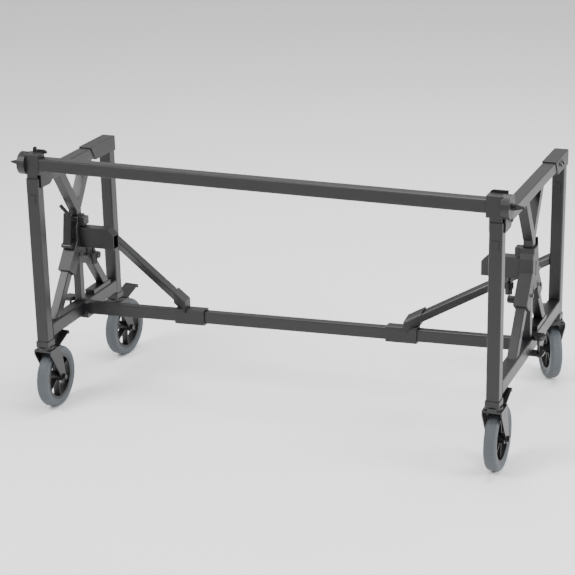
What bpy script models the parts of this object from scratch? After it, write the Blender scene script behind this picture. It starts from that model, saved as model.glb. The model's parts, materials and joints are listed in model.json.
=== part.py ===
"""Vibraphone field frame: a height-adjustable, trapezoid stand on four braked casters.

Two end frames stand on the casters. Each has two square legs, a crossbar, and two struts that
carry a cast housing. The upper frame slides in them: a front rail, two side rails, their corner
castings and a Y-shaped fork whose post runs through each housing. A lower beam joins the end
frames, and two braces run from it to the rear legs.

Lengths are in metres. +X runs along the length to the deep end, +Y to the rear, +Z up.
"""
import math

import bmesh
import bpy
from mathutils import Matrix, Vector

# Plan of the legs, measured between leg axes
LEG_SPACING = 1.487
RIGHT_DEPTH = 0.776
LEFT_DEPTH = 0.493
FRONT_STAGGER = 0.020

# Clearances
SEAT_GAP = 0.0003
SLIDE_GAP = 0.0005
HOLE_GAP = 0.0004

# Casters
WHEEL_RADIUS = 0.100
TYRE_WIDTH = 0.040
TYRE_DEPTH = 0.0242
TYRE_SHOULDER = 0.011
RIM_DEPTH = 0.009
RIM_WIDTH = 0.031
SPOKES = 6
SPOKE_THICKNESS = 0.004
SPOKE_WIDTH = 0.022
HUB_RADIUS = 0.016
HUB_LENGTH = 0.046
AXLE_RADIUS = 0.005
AXLE_GAP = 0.0006
NUT_RADIUS = 0.0095
NUT_THICKNESS = 0.007
CASTER_TRAIL = 0.052
FORK_CLEARANCE = 0.0065
FORK_PLATE = 0.004
FORK_FOOT_RADIUS = 0.014
CROWN_CLEARANCE = 0.0075
CROWN_THICKNESS = 0.006
CROWN_FRONT = 0.024
CROWN_REAR = 0.031
SWIVEL_HEAD_RADIUS = 0.027
SWIVEL_HEAD_THICKNESS = 0.009
KINGPIN_RADIUS = 0.006
KINGPIN_LENGTH = 0.022
PEDAL_PIVOT_REACH = 0.041
PEDAL_PIVOT_RADIUS = 0.0045
PEDAL_PIN_RADIUS = 0.003
PEDAL_LENGTH = 0.072
PEDAL_RISE = 0.026
PEDAL_WIDTH = 0.052
PEDAL_THICKNESS = 0.0035
PEDAL_SKIRT = 0.010
FRONT_SWIVEL = 0.0
REAR_LEFT_SWIVEL = math.radians(-6.0)
REAR_RIGHT_SWIVEL = math.radians(28.0)

# Legs
LEG_WIDTH = 0.040
LEG_WALL = 0.0025
LEG_CORNER = 0.004
FRONT_LEG_TOP = 0.783
REAR_LEG_TOP = 0.745
CAP_WIDTH = 0.044
CAP_HEIGHT = 0.018
CAP_LIP = 0.002
WINDOW_WIDTH = 0.022
WINDOW_HEIGHT = 0.030
WINDOW_DROP = 0.066
BUTTON_FLANGE = 0.0015
BUTTON_FLANGE_THICKNESS = 0.002
BUTTON_PROUD = 0.0012

# Crossbars and struts
CROSSBAR_HEIGHT = 0.045
CROSSBAR_RISE = 0.0096
STRUT_WIDTH = 0.030
STRUT_WALL = 0.0025
STRUT_SPREAD = 0.1735
STRUT_APEX = 0.525
STRUT_TOP = 0.447
SHOE_LENGTH = 0.120
SHOE_WIDTH = 0.034
SHOE_HEIGHT = 0.014
GUIDE_WALL = 0.002
GUIDE_TOP = 0.580

# Housings
HOUSING_WIDTH = 0.045
HOUSING_TOP = 0.592
HOUSING_BEVEL = 0.002
HOUSING_SHOULDER = 0.560
HOUSING_NECK = 0.0265
HOUSING_HALF_DEPTH = 0.036
SOCKET_HALF_WIDTH = 0.0235
SOCKET_END = 0.135
ARCH_TOP = 0.478
CENTRAL_SOCKET_BOTTOM = 0.457
CENTRAL_SOCKET_HALF = 0.0215
BLOCK_REACH = 0.018
BLOCK_HEIGHT = 0.029
BLOCK_HALF_DEPTH = 0.017
RIB_LENGTH = 0.048
RIB_WIDTH = 0.008
RIB_DEPTH = 0.003

# Forks
POST_WIDTH = 0.030
POST_WALL = 0.002
POST_BOTTOM = 0.455
POST_TOP = 0.640
ARM_ROOT = 0.615
ARM_SPREAD = 0.095
ARM_DEPTH = 0.030

# Upper frame
HEIGHT_TRAVEL = 0.100
SIDE_RAIL_TOP = 0.793
SIDE_RAIL_HEIGHT = 0.035
SIDE_RAIL_WIDTH = 0.040
FRONT_RAIL_TOP = 0.849
FRONT_RAIL_SIZE = 0.040
RAIL_WALL = 0.0025
RAIL_CORNER = 0.004
SPIGOT_OVERLAP = 0.060
SPIGOT_GROOVE = 0.008
RAIL_SPIGOT_LENGTH = 0.060
KNUCKLE_INNER = 0.030
KNUCKLE_OUTER = 0.020
KNUCKLE_HALF_DEPTH = 0.022
KNUCKLE_BELOW = 0.032
KNUCKLE_ABOVE = 0.034
BOSS_RADIUS = 0.036
BOSS_REACH = 0.020
CHEEK_THICKNESS = 0.0042
CHEEK_BOTTOM = 0.0065
CHEEK_ROUND = 0.020
FRONT_SOCKET_MOUTH = 0.071
SOCKET_FLOOR = 0.009
ELBOW_MOUTH_TOP = 0.155
ELBOW_MOUTH_BOTTOM = 0.122
ELBOW_WALL = 0.0030
PLATE_THICKNESS = 0.006
PLATE_RISE = 0.008
PLATE_CHAMFER = 0.009
RIGHT_PLATE_FROM = -0.026
RIGHT_PLATE_TO = 0.026
LEFT_PLATE_FROM = -0.041
LEFT_PLATE_TO = -0.009
LUG_RADIUS = 0.006
LUG_RISE = 0.010

# Lower beam, its saddles, collars and braces
BEAM_HEIGHT = 0.040
BEAM_DEPTH = 0.030
BEAM_DROP = 0.001
SADDLE_FLANGE = 0.018
SADDLE_WIDTH = 0.044
SADDLE_PLATE = 0.006
SADDLE_REACH = 0.018
KNOB_OFFSET = 0.0170
COLLAR_PLACE = 0.352
COLLAR_LENGTH = 0.100
COLLAR_WALL = 0.006
BRACE_WIDTH = 0.027
BRACE_WALL = 0.0025
BRACE_ROOT_X = 0.372
BRACE_ROOT_Z = 0.314
BRACE_END_Z = 0.430
BRACE_SOCKET_LENGTH = 0.055
BRACE_SOCKET_WALL = 0.005
BRACE_FLOOR = 0.012

# Resonator brackets
BRACKET_LENGTH = 0.122
BRACKET_DEPTH = 0.036
BRACKET_HEIGHT = 0.067
BRACKET_BOTTOM = 0.490
BRACKET_WALL = 0.0025
BRACKET_CHAMFER = 0.021
FOOT_PLACE = 0.0605

# Hand screws and levers
BEAM_KNOB_RADIUS = 0.023
BEAM_KNOB_THICKNESS = 0.013
BEAM_SCREW_RADIUS = 0.004
BEAM_NUT_THICKNESS = 0.006
STRUT_KNOB_RADIUS = 0.011
STRUT_KNOB_LENGTH = 0.024
STRUT_STUD_RADIUS = 0.004
STRUT_KNOB_PLACE = 0.108
FOOT_KNOB_RADIUS = 0.014
FOOT_KNOB_HEIGHT = 0.020
FOOT_RING_HEIGHT = 0.018
FOOT_STEM_RADIUS = 0.005
FOOT_STEM_LENGTH = 0.020
LEVER_WIDTH = 0.028
LEVER_THICKNESS = 0.006
LEVER_PIVOT = (0.063, 0.503)
LEVER_TOP = (0.046, 0.609)
LEVER_BARREL = 0.0075
LEVER_OFFSET = 0.002
LEVER_LUG = 0.004
GRIP_RADIUS = 0.006
GRIP_LENGTH = 0.036
GRIP_ANGLE = math.radians(45.0)
WING_HUB_RADIUS = 0.010
WING_HUB_LENGTH = 0.008
WING_LENGTH = 0.030
WING_HEIGHT = 0.020
WING_THICKNESS = 0.006
WING_STUD_LENGTH = 0.012

# Facets
ROUND_STEPS = 24
FINE_STEPS = 32
SMALL_STEPS = 16

# Places that follow from the sizes above
CAP_BOTTOM = (2 * WHEEL_RADIUS + CROWN_CLEARANCE + CROWN_THICKNESS
              + SWIVEL_HEAD_THICKNESS + SEAT_GAP)
LEG_BOTTOM = CAP_BOTTOM + CAP_HEIGHT
CROSSBAR_BOTTOM = LEG_BOTTOM + CROSSBAR_RISE
CROSSBAR_TOP = CROSSBAR_BOTTOM + CROSSBAR_HEIGHT
LEG_INNER = LEG_WIDTH - 2 * LEG_WALL
SPIGOT_WIDTH = LEG_INNER - 2 * SLIDE_GAP
SPIGOT_LENGTH = HEIGHT_TRAVEL + SPIGOT_OVERLAP
GUIDE_WIDTH = POST_WIDTH - 2 * POST_WALL - 2 * SLIDE_GAP
SIDE_RAIL_BOTTOM = SIDE_RAIL_TOP - SIDE_RAIL_HEIGHT
SIDE_RAIL_MIDDLE = SIDE_RAIL_TOP - SIDE_RAIL_HEIGHT / 2
FRONT_RAIL_MIDDLE = FRONT_RAIL_TOP - FRONT_RAIL_SIZE / 2
BEAM_TOP = CROSSBAR_TOP - BEAM_DROP
BEAM_MIDDLE = BEAM_TOP - BEAM_HEIGHT / 2
RIM_RADIUS = WHEEL_RADIUS - TYRE_DEPTH - SEAT_GAP
FORK_OUTER = TYRE_WIDTH / 2 + FORK_CLEARANCE + FORK_PLATE
CROWN_TOP = 2 * WHEEL_RADIUS + CROWN_CLEARANCE + CROWN_THICKNESS
SWIVELS = {
    "left_front": FRONT_SWIVEL,
    "left_rear": REAR_LEFT_SWIVEL,
    "right_front": FRONT_SWIVEL,
    "right_rear": REAR_RIGHT_SWIVEL,
}
LEGS = {
    "left_front": (-LEG_SPACING / 2, FRONT_STAGGER - RIGHT_DEPTH / 2),
    "left_rear": (-LEG_SPACING / 2, FRONT_STAGGER - RIGHT_DEPTH / 2 + LEFT_DEPTH),
    "right_front": (LEG_SPACING / 2, -RIGHT_DEPTH / 2),
    "right_rear": (LEG_SPACING / 2, RIGHT_DEPTH / 2),
}
LEG_TOPS = {
    "left_front": FRONT_LEG_TOP,
    "left_rear": REAR_LEG_TOP,
    "right_front": FRONT_LEG_TOP,
    "right_rear": REAR_LEG_TOP,
}
SIDES = {"left": -1, "right": 1}
X_AXIS = Vector((1, 0, 0))
Y_AXIS = Vector((0, 1, 0))
Z_AXIS = Vector((0, 0, 1))


# Scene and materials

def clear_scene():
    for old in list(bpy.data.objects):
        bpy.data.objects.remove(old, do_unlink=True)


def new_collection(name):
    collection = bpy.data.collections.new(name)
    bpy.context.scene.collection.children.link(collection)
    return collection


def make_material(name, colour, roughness, metallic):
    material = bpy.data.materials.new(name)
    material.use_nodes = True
    shader = material.node_tree.nodes["Principled BSDF"]
    shader.inputs["Base Color"].default_value = (*colour, 1.0)
    shader.inputs["Roughness"].default_value = roughness
    shader.inputs["Metallic"].default_value = metallic
    return material


clear_scene()
PARTS = new_collection("vibraphone_field_frame")
CUTTERS = new_collection("cutters")
POWDER_COAT = make_material("powder_coated_steel", (0.022, 0.022, 0.024), 0.42, 0.0)
CAST = make_material("painted_casting", (0.026, 0.026, 0.028), 0.50, 0.0)
BLACK_PLASTIC = make_material("black_nylon", (0.012, 0.012, 0.013), 0.45, 0.0)
GREY_RUBBER = make_material("grey_rubber", (0.135, 0.150, 0.165), 0.60, 0.0)
BLACK_STEEL = make_material("blackened_steel", (0.030, 0.030, 0.032), 0.35, 1.0)


# Meshes

def mesh_from(name, build):
    """A mesh filled by build(bmesh)."""
    mesh = bpy.data.meshes.new(name)
    shape = bmesh.new()
    build(shape)
    shape.to_mesh(mesh)
    shape.free()
    return mesh


def box_mesh(low, high):
    """A box between two corners."""
    low = Vector(low)
    high = Vector(high)
    middle = Matrix.Translation((low + high) / 2)
    size = Matrix.Diagonal((*(high - low), 1.0))
    return mesh_from("box", lambda shape: bmesh.ops.create_cube(shape, size=1.0, matrix=middle @ size))


def rod_mesh(radius, start, end, steps=SMALL_STEPS, end_radius=None):
    """A round bar, or a cone when end_radius differs, between two points."""
    start = Vector(start)
    end = Vector(end)
    turn = Z_AXIS.rotation_difference(end - start).to_matrix().to_4x4()
    place = Matrix.Translation((start + end) / 2) @ turn
    return mesh_from("rod", lambda shape: bmesh.ops.create_cone(
        shape, cap_ends=True, segments=steps, radius1=radius,
        radius2=radius if end_radius is None else end_radius,
        depth=(end - start).length, matrix=place))


def rounded_rectangle(width, height, radius, steps=2):
    """The corner points of a rounded rectangle round the origin."""
    if radius <= 0:
        return [(sx * width / 2, sy * height / 2) for sx, sy in ((1, 1), (-1, 1), (-1, -1), (1, -1))]
    points = []
    for quarter, (sx, sy) in enumerate(((1, 1), (-1, 1), (-1, -1), (1, -1))):
        for step in range(steps + 1):
            angle = math.pi / 2 * (quarter + step / steps)
            points.append((sx * (width / 2 - radius) + radius * math.cos(angle),
                           sy * (height / 2 - radius) + radius * math.sin(angle)))
    return points


def arc(centre, radius, start, end, steps):
    """Points on an arc between two angles in degrees."""
    points = []
    for step in range(steps + 1):
        angle = math.radians(start + (end - start) * step / steps)
        points.append((centre[0] + radius * math.cos(angle), centre[1] + radius * math.sin(angle)))
    return points


def extruded_mesh(outlines, thickness):
    """Flat outlines, the first filled and the rest cut out, centred on the XY plane."""
    curve = bpy.data.curves.new("outline", "CURVE")
    curve.dimensions = "2D"
    curve.fill_mode = "BOTH"
    curve.extrude = thickness / 2
    for outline in outlines:
        spline = curve.splines.new("POLY")
        spline.points.add(len(outline) - 1)
        for point, (x, y) in zip(spline.points, outline):
            point.co = (x, y, 0.0, 1.0)
        spline.use_cyclic_u = True
    guide = bpy.data.objects.new("outline", curve)
    CUTTERS.objects.link(guide)
    bpy.context.view_layer.update()
    graph = bpy.context.evaluated_depsgraph_get()
    mesh = bpy.data.meshes.new_from_object(guide.evaluated_get(graph))
    shape = bmesh.new()
    shape.from_mesh(mesh)
    bmesh.ops.remove_doubles(shape, verts=shape.verts, dist=0.00001)
    bmesh.ops.recalc_face_normals(shape, faces=shape.faces)
    shape.to_mesh(mesh)
    shape.free()
    bpy.data.objects.remove(guide)
    bpy.data.curves.remove(curve)
    return mesh


def side_profile(outline, thickness, middle=0.0):
    """An outline of (y, z) points given a thickness along X."""
    mesh = extruded_mesh([outline], thickness)
    mesh.transform(Matrix(((0, 0, 1, middle), (1, 0, 0, 0), (0, 1, 0, 0), (0, 0, 0, 1))))
    return mesh


def front_profile(outline, thickness, middle=0.0):
    """An outline of (x, z) points given a thickness along Y."""
    mesh = extruded_mesh([outline], thickness)
    mesh.transform(Matrix(((1, 0, 0, 0), (0, 0, -1, middle), (0, 1, 0, 0), (0, 0, 0, 1))))
    return mesh


def swept_mesh(start, end, side, end_normal, width, height, wall=0.0, corner=0.0):
    """A bar or, with a wall, a tube from start to end, its square section across its length.

    The ends lie in planes across end_normal, so they meet a wall or a floor flush. side is
    the direction that the section's width is nearest to.
    """
    start = Vector(start)
    end = Vector(end)
    run = (end - start).normalized()
    across = (side - run * side.dot(run)).normalized()
    upward = run.cross(across)
    outlines = [rounded_rectangle(width, height, corner)]
    if wall > 0:
        inner = max(corner - wall, 0)
        outlines.append(rounded_rectangle(width - 2 * wall, height - 2 * wall, inner))
    mesh = extruded_mesh(outlines, 1.0)
    first = across - run * (across.dot(end_normal) / run.dot(end_normal))
    second = upward - run * (upward.dot(end_normal) / run.dot(end_normal))
    middle = (start + end) / 2
    columns = Matrix((first, second, end - start)).transposed().to_4x4()
    mesh.transform(Matrix.Translation(middle) @ columns)
    if columns.determinant() < 0:
        mesh.flip_normals()
    return mesh


def turned_mesh(profile, steps):
    """A closed (radius, height) profile turned about Z by a Screw modifier."""
    mesh = bpy.data.meshes.new("profile")
    count = len(profile)
    edges = [(index, (index + 1) % count) for index in range(count)]
    mesh.from_pydata([(radius, 0.0, height) for radius, height in profile], edges, [])
    guide = bpy.data.objects.new("profile", mesh)
    CUTTERS.objects.link(guide)
    screw = guide.modifiers.new("turn", "SCREW")
    screw.angle = math.tau
    screw.steps = steps
    screw.render_steps = steps
    screw.use_merge_vertices = True
    screw.merge_threshold = 0.00001
    bpy.context.view_layer.update()
    graph = bpy.context.evaluated_depsgraph_get()
    turned = bpy.data.meshes.new_from_object(guide.evaluated_get(graph))
    shape = bmesh.new()
    shape.from_mesh(turned)
    bmesh.ops.recalc_face_normals(shape, faces=shape.faces)
    shape.to_mesh(turned)
    shape.free()
    bpy.data.objects.remove(guide)
    bpy.data.meshes.remove(mesh)
    return turned


def lay_along_x(mesh):
    """Turns a mesh built about Z so that its axis runs along X."""
    mesh.transform(Matrix.Rotation(math.pi / 2, 4, "Y"))
    return mesh


def star_outline(radius, lobes, depth, steps=4):
    """The outline of a hand knob with rounded lobes."""
    points = []
    for index in range(lobes * steps):
        angle = math.tau * index / (lobes * steps)
        points.append(((radius - depth * (1 - math.cos(lobes * angle)) / 2) * math.cos(angle),
                       (radius - depth * (1 - math.cos(lobes * angle)) / 2) * math.sin(angle)))
    return points


# Pieces

def add_piece(name, mesh, material, parent=None, location=(0, 0, 0), turn=0.0):
    """One sub-part: an object whose mesh is in its own coordinates."""
    mesh.name = name
    mesh.materials.clear()
    mesh.materials.append(material)
    piece = bpy.data.objects.new(name, mesh)
    PARTS.objects.link(piece)
    piece.parent = parent
    piece.location = location
    piece.rotation_euler = (0, 0, turn)
    return piece


def combine(piece, mesh, operation):
    """A Boolean of the piece with a mesh in the piece's own coordinates."""
    tool = bpy.data.objects.new(f"{piece.name}_tool", mesh)
    CUTTERS.objects.link(tool)
    tool.parent = piece.parent
    tool.location = piece.location
    tool.rotation_euler = piece.rotation_euler
    tool.hide_render = True
    tool.display_type = "WIRE"
    boolean = piece.modifiers.new(operation.lower(), "BOOLEAN")
    boolean.operation = operation
    boolean.solver = "EXACT"
    boolean.object = tool


def join(piece, *meshes):
    for mesh in meshes:
        combine(piece, mesh, "UNION")


def cut(piece, *meshes):
    for mesh in meshes:
        combine(piece, mesh, "DIFFERENCE")


def round_edges(piece, width, segments=1):
    bevel = piece.modifiers.new("bevel", "BEVEL")
    bevel.width = width
    bevel.segments = segments
    bevel.limit_method = "ANGLE"
    bevel.angle_limit = math.radians(50)


def finish(piece):
    """Closes hairline seams after the Booleans and shades round faces smooth."""
    weld = piece.modifiers.new("weld", "WELD")
    weld.merge_threshold = 0.00002
    piece.data.shade_smooth()
    piece.data.set_sharp_from_angle(angle=math.radians(35))


def add_empty(name, location, turn=0.0, parent=None):
    empty = bpy.data.objects.new(name, None)
    PARTS.objects.link(empty)
    empty.location = location
    empty.rotation_euler = (0, 0, turn)
    empty.parent = parent
    return empty


def end_middle(side):
    """The point on the floor midway between an end's two legs."""
    front = Vector(LEGS[f"{side}_front"])
    rear = Vector(LEGS[f"{side}_rear"])
    return ((front + rear) / 2).to_3d()


def end_depth(side):
    return LEGS[f"{side}_rear"][1] - LEGS[f"{side}_front"][1]


# Casters

def tyre_profile():
    """A round-shouldered tread on a flat bead seat."""
    inner = WHEEL_RADIUS - TYRE_DEPTH
    half = TYRE_WIDTH / 2
    top = arc((WHEEL_RADIUS - TYRE_SHOULDER, half - TYRE_SHOULDER), TYRE_SHOULDER, 90, 0, 4)
    bottom = arc((WHEEL_RADIUS - TYRE_SHOULDER, TYRE_SHOULDER - half), TYRE_SHOULDER, 0, -90, 4)
    return [(inner, half * 0.8)] + top + bottom + [(inner, -half * 0.8)]


def add_caster(corner):
    """A swivel fork with its wheel and brake pedal, trailing towards its local +Y."""
    x, y = LEGS[corner]
    swivel = add_empty(f"{corner}_swivel", (x, y, 0), SWIVELS[corner])
    add_caster_fork(corner, swivel)
    add_wheel(corner, swivel)
    add_pedal(corner, swivel)


def add_caster_fork(corner, swivel):
    reach = PEDAL_PIVOT_REACH + PEDAL_PIVOT_RADIUS
    crown = box_mesh((-FORK_OUTER, -CROWN_FRONT, CROWN_TOP - CROWN_THICKNESS),
                     (FORK_OUTER, CROWN_REAR, CROWN_TOP))
    fork = add_piece(f"{corner}_caster_fork", crown, BLACK_STEEL, swivel)
    foot = arc((CASTER_TRAIL, WHEEL_RADIUS), FORK_FOOT_RADIUS, 180, 360, 6)
    shoulder = CROWN_TOP - 2.5 * CROWN_THICKNESS
    outline = [(reach, shoulder), (reach, CROWN_TOP), (-CROWN_FRONT, CROWN_TOP),
               (-CROWN_FRONT, shoulder)] + foot
    for way in (-1, 1):
        arm = side_profile(outline, FORK_PLATE, way * (FORK_OUTER - FORK_PLATE / 2))
        nut = rod_mesh(NUT_RADIUS, (way * (FORK_OUTER - SEAT_GAP), CASTER_TRAIL, WHEEL_RADIUS),
                       (way * (FORK_OUTER + NUT_THICKNESS), CASTER_TRAIL, WHEEL_RADIUS), 6)
        join(fork, arm, nut)
    inside = FORK_OUTER - FORK_PLATE / 2
    axle = rod_mesh(AXLE_RADIUS, (-inside, CASTER_TRAIL, WHEEL_RADIUS),
                    (inside, CASTER_TRAIL, WHEEL_RADIUS))
    pin = rod_mesh(PEDAL_PIN_RADIUS, (-inside, PEDAL_PIVOT_REACH, pedal_pivot_height()),
                   (inside, PEDAL_PIVOT_REACH, pedal_pivot_height()), 12)
    head = rod_mesh(SWIVEL_HEAD_RADIUS, (0, 0, CROWN_TOP - SEAT_GAP),
                    (0, 0, CROWN_TOP + SWIVEL_HEAD_THICKNESS), ROUND_STEPS)
    kingpin = rod_mesh(KINGPIN_RADIUS, (0, 0, CROWN_TOP),
                       (0, 0, CROWN_TOP + SWIVEL_HEAD_THICKNESS + KINGPIN_LENGTH))
    join(fork, axle, pin, head, kingpin)
    finish(fork)


def pedal_pivot_height():
    return CROWN_TOP - PEDAL_PIVOT_RADIUS / 2


def add_wheel(corner, swivel):
    axle = (0, CASTER_TRAIL, WHEEL_RADIUS)
    tyre = lay_along_x(turned_mesh(tyre_profile(), FINE_STEPS))
    finish(add_piece(f"{corner}_tyre", tyre, GREY_RUBBER, swivel, axle))
    half = RIM_WIDTH / 2
    rim = lay_along_x(turned_mesh([(RIM_RADIUS, half), (RIM_RADIUS, -half),
                                   (RIM_RADIUS - RIM_DEPTH, -half),
                                   (RIM_RADIUS - RIM_DEPTH, half)], FINE_STEPS))
    hub = add_piece(f"{corner}_hub", rim, BLACK_PLASTIC, swivel, axle)
    middle = (RIM_RADIUS - RIM_DEPTH / 2) / 2
    for index in range(SPOKES):
        spoke = box_mesh((-SPOKE_WIDTH / 2, -SPOKE_THICKNESS / 2, HUB_RADIUS / 2),
                         (SPOKE_WIDTH / 2, SPOKE_THICKNESS / 2, 2 * middle))
        spoke.transform(Matrix.Rotation(math.tau * index / SPOKES, 4, "X"))
        join(hub, spoke)
    join(hub, rod_mesh(HUB_RADIUS, (-HUB_LENGTH / 2, 0, 0), (HUB_LENGTH / 2, 0, 0), ROUND_STEPS))
    cut(hub, rod_mesh(AXLE_RADIUS + AXLE_GAP, (-HUB_LENGTH, 0, 0), (HUB_LENGTH, 0, 0)))
    finish(hub)


def add_pedal(corner, swivel):
    """A pressed brake pedal with a turned-down edge, on a barrel round the fork's pin."""
    width = PEDAL_WIDTH / 2
    barrel = rod_mesh(PEDAL_PIVOT_RADIUS, (-width, 0, 0), (width, 0, 0))
    pivot = (0, PEDAL_PIVOT_REACH, pedal_pivot_height())
    pedal = add_piece(f"{corner}_brake_pedal", barrel, BLACK_STEEL, swivel, pivot)
    thick = PEDAL_THICKNESS
    plate = side_profile([(0, -thick / 2), (PEDAL_LENGTH, PEDAL_RISE - thick / 2),
                          (PEDAL_LENGTH, PEDAL_RISE + thick / 2), (0, thick / 2)], PEDAL_WIDTH)
    lip = side_profile([(PEDAL_LENGTH - thick, PEDAL_RISE - PEDAL_SKIRT),
                        (PEDAL_LENGTH, PEDAL_RISE - PEDAL_SKIRT),
                        (PEDAL_LENGTH, PEDAL_RISE + thick / 2),
                        (PEDAL_LENGTH - thick, PEDAL_RISE)], PEDAL_WIDTH)
    join(pedal, plate, lip)
    cut(pedal, rod_mesh(PEDAL_PIN_RADIUS + HOLE_GAP, (-PEDAL_WIDTH, 0, 0), (PEDAL_WIDTH, 0, 0), 12))
    finish(pedal)


# End frames

def add_leg(corner):
    x, y = LEGS[corner]
    top = LEG_TOPS[corner]
    tube = swept_mesh((0, 0, LEG_BOTTOM), (0, 0, top), X_AXIS, Z_AXIS,
                      LEG_WIDTH, LEG_WIDTH, LEG_WALL, LEG_CORNER)
    leg = add_piece(f"{corner}_leg", tube, POWDER_COAT, None, (x, y, 0))
    half = CAP_WIDTH / 2
    join(leg, box_mesh((-half, -half, CAP_BOTTOM), (half, half, LEG_BOTTOM + CAP_LIP)))
    bore = KINGPIN_RADIUS + HOLE_GAP
    cut(leg, rod_mesh(bore, (0, 0, CAP_BOTTOM - CAP_HEIGHT), (0, 0, LEG_BOTTOM + CAP_HEIGHT)))
    middle = top - WINDOW_DROP
    cut(leg, box_mesh((-WINDOW_WIDTH / 2, -LEG_WIDTH, middle - WINDOW_HEIGHT / 2),
                      (WINDOW_WIDTH / 2, -LEG_WIDTH / 2 + 2 * LEG_WALL, middle + WINDOW_HEIGHT / 2)))
    finish(leg)


def add_spring_button(corner):
    """A latch button that fills the leg's window, with a flange behind the wall."""
    x, y = LEGS[corner]
    width = WINDOW_WIDTH / 2 - HOLE_GAP
    height = WINDOW_HEIGHT / 2 - HOLE_GAP
    outside = -LEG_WIDTH / 2 - BUTTON_PROUD
    behind = -LEG_WIDTH / 2 + LEG_WALL + SEAT_GAP
    face = box_mesh((-width, outside, -height), (width, behind + BUTTON_FLANGE, height))
    place = (x, y, LEG_TOPS[corner] - WINDOW_DROP)
    button = add_piece(f"{corner}_spring_button", face, BLACK_PLASTIC, None, place)
    wide = width + HOLE_GAP + BUTTON_FLANGE
    high = height + HOLE_GAP + BUTTON_FLANGE
    join(button, box_mesh((-wide, behind, -high), (wide, behind + BUTTON_FLANGE_THICKNESS, high)))


def strut_point(way, height):
    """The point on a strut's axis at a height."""
    slope = STRUT_SPREAD / (STRUT_APEX - CROSSBAR_TOP)
    return Vector((0, way * (STRUT_APEX - height) * slope, height))


def strut_along(way, distance):
    """The point on a strut's axis at a distance down from the apex."""
    run = strut_point(way, CROSSBAR_TOP) - strut_point(way, STRUT_APEX)
    return strut_point(way, STRUT_APEX) + run.normalized() * distance


def add_crossbar(side, end):
    reach = end_depth(side) / 2 - LEG_WIDTH / 2 - SEAT_GAP
    middle = CROSSBAR_TOP - CROSSBAR_HEIGHT / 2
    tube = swept_mesh((0, -reach, middle), (0, reach, middle), X_AXIS, Y_AXIS,
                      LEG_WIDTH, CROSSBAR_HEIGHT, LEG_WALL, LEG_CORNER)
    crossbar = add_piece(f"{side}_crossbar", tube, POWDER_COAT, end)
    join(crossbar, swept_mesh((0, 0, CROSSBAR_TOP - LEG_WALL / 2), (0, 0, GUIDE_TOP), X_AXIS, Z_AXIS,
                              GUIDE_WIDTH, GUIDE_WIDTH, GUIDE_WALL))
    finish(crossbar)


def add_struts(side, end):
    """Two square tubes that lean together; the rear one stands on a low shoe."""
    rear_way = SIDES[side]
    for way in (-1, 1):
        foot = strut_point(way, CROSSBAR_TOP + SEAT_GAP)
        bar = swept_mesh(foot, strut_point(way, STRUT_TOP), X_AXIS, Z_AXIS,
                         STRUT_WIDTH, STRUT_WIDTH, 0, STRUT_WALL)
        place = "rear" if way == rear_way else "front"
        strut = add_piece(f"{side}_{place}_strut", bar, POWDER_COAT, end)
        if way == rear_way:
            near = foot.y + way * STRUT_WIDTH / 2
            far = near - way * SHOE_LENGTH
            low, high = sorted((near, far))
            join(strut, box_mesh((-SHOE_WIDTH / 2, low, foot.z - SEAT_GAP / 3),
                                 (SHOE_WIDTH / 2, high, foot.z + SHOE_HEIGHT)))
        hollow = STRUT_WIDTH - 2 * STRUT_WALL
        below = strut_point(way, foot.z - STRUT_WIDTH)
        above = strut_point(way, STRUT_TOP + STRUT_WIDTH)
        cut(strut, swept_mesh(below, above, X_AXIS, Z_AXIS, hollow, hollow))
        finish(strut)


def housing_outline():
    """The cast housing seen from the side: a collar over two splayed strut sockets."""
    half = []
    end = strut_along(1, SOCKET_END)
    run = (strut_along(1, SOCKET_END) - strut_along(1, 0)).normalized()
    across = Vector((0, -run.z, run.y)) * SOCKET_HALF_WIDTH
    outer = end + across
    inner = end - across
    rise = -run.z / run.y
    shoulder_foot = outer.z + (outer.y - HOUSING_HALF_DEPTH) * rise
    arch_side = CENTRAL_SOCKET_HALF * 1.5
    half.append((HOUSING_NECK, HOUSING_TOP))
    half.append((HOUSING_NECK, (HOUSING_TOP + HOUSING_SHOULDER) / 2))
    half.append((HOUSING_HALF_DEPTH, HOUSING_SHOULDER))
    half.append((HOUSING_HALF_DEPTH, shoulder_foot))
    half.append((outer.y, outer.z))
    half.append((inner.y, inner.z))
    half.append((arch_side, inner.z + (inner.y - arch_side) * rise))
    half.append((arch_side, ARCH_TOP - (arch_side - CENTRAL_SOCKET_HALF)))
    half.append((CENTRAL_SOCKET_HALF, ARCH_TOP))
    half.append((CENTRAL_SOCKET_HALF, CENTRAL_SOCKET_BOTTOM))
    return [(-y, z) for y, z in half] + list(reversed(half))


def lever_lug_outline():
    """An ear from the housing's shoulder to the clamp lever's pivot."""
    y, z = LEVER_PIVOT
    root = HOUSING_HALF_DEPTH / 2
    return ([(root, z - LEVER_BARREL), (root, z + LEVER_BARREL * 2)]
            + arc((y, z), LEVER_BARREL, 80, -60, 6) + [(HOUSING_HALF_DEPTH, z - LEVER_BARREL * 2)])


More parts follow.
